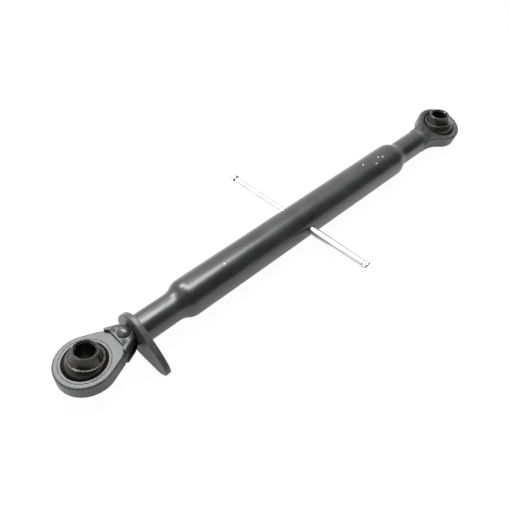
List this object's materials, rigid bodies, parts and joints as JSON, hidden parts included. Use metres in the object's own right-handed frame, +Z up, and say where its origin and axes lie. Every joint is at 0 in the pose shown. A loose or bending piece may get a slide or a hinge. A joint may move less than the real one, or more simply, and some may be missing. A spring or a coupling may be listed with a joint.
{
  "type": "tractor top link",
  "caption": "Adjustable top link with a swaged barrel turned by a sliding bar, threaded rods, captive-ball eyes, a knuckle joint and a lock lever.",
  "frame": {"origin": "centre of the tractor-end ball, on the link's axis", "axes": "+X along the link to the implement-end ball, +Z up along the implement pin bore, +Y across the link; the lock lever's tail points to -Y"},
  "size_m": [0.627, 0.216, 0.0503],
  "materials": {
    "black_paint": "satin black paint over drawn steel tube",
    "black_forging": "satin black paint over forged steel, worn on the edges",
    "ball_steel": "oiled black-finished steel with bright rims",
    "rivet_steel": "closed rivet head under black paint",
    "zinc_plate": "bright zinc plate"
  },
  "bodies": {
    "fork": {"fork_rod": "black_forging", "knuckle_rivet": "rivet_steel"},
    "tractor_eye": {"knuckle_eye": "black_forging"},
    "tractor_ball": {"tractor_ball": "ball_steel"},
    "lever": {"lock_lever": "black_forging"},
    "barrel": {"barrel": "black_paint"},
    "bar": {"tommy_bar": "zinc_plate"},
    "implement_eye": {"implement_rod": "black_forging"},
    "implement_ball": {"implement_ball": "ball_steel"}
  },
  "joints": [
    {"name": "knuckle_swing", "type": "hinge", "parent": "fork", "child": "tractor_eye", "pos_m": [0.0434, 0, 0], "axis": [0, 0, 1], "range_deg": [-30, 30]},
    {"name": "tractor_ball_tilt", "type": "hinge", "parent": "tractor_eye", "child": "tractor_ball", "pos_m": [0, 0, 0], "axis": [0, 1, 0], "range_deg": [-35, 15]},
    {"name": "lever_travel", "type": "slide", "parent": "fork", "child": "lever", "axis": [1, 0, 0], "range_m": [0, 0.09]},
    {"name": "barrel_turn", "type": "hinge", "parent": "lever", "child": "barrel", "pos_m": [0.0575, 0, 0], "axis": [1, 0, 0], "range_deg": [0, 10800]},
    {"name": "bar_slide", "type": "slide", "parent": "barrel", "child": "bar", "axis": [0, 1, 0], "range_m": [-0.083, 0.073]},
    {"name": "implement_travel", "type": "slide", "parent": "fork", "child": "implement_eye", "axis": [1, 0, 0], "range_m": [0, 0.18]},
    {"name": "implement_ball_tilt", "type": "hinge", "parent": "implement_eye", "child": "implement_ball", "pos_m": [0.568, 0, 0], "axis": [1, 0, 0], "range_deg": [-9, 41]}
  ],
  "couplings": [
    {"joint": "lever_travel", "follows": "barrel_turn", "m_per_rad": 0.00047746},
    {"joint": "implement_travel", "follows": "barrel_turn", "m_per_rad": 0.00095492}
  ]
}
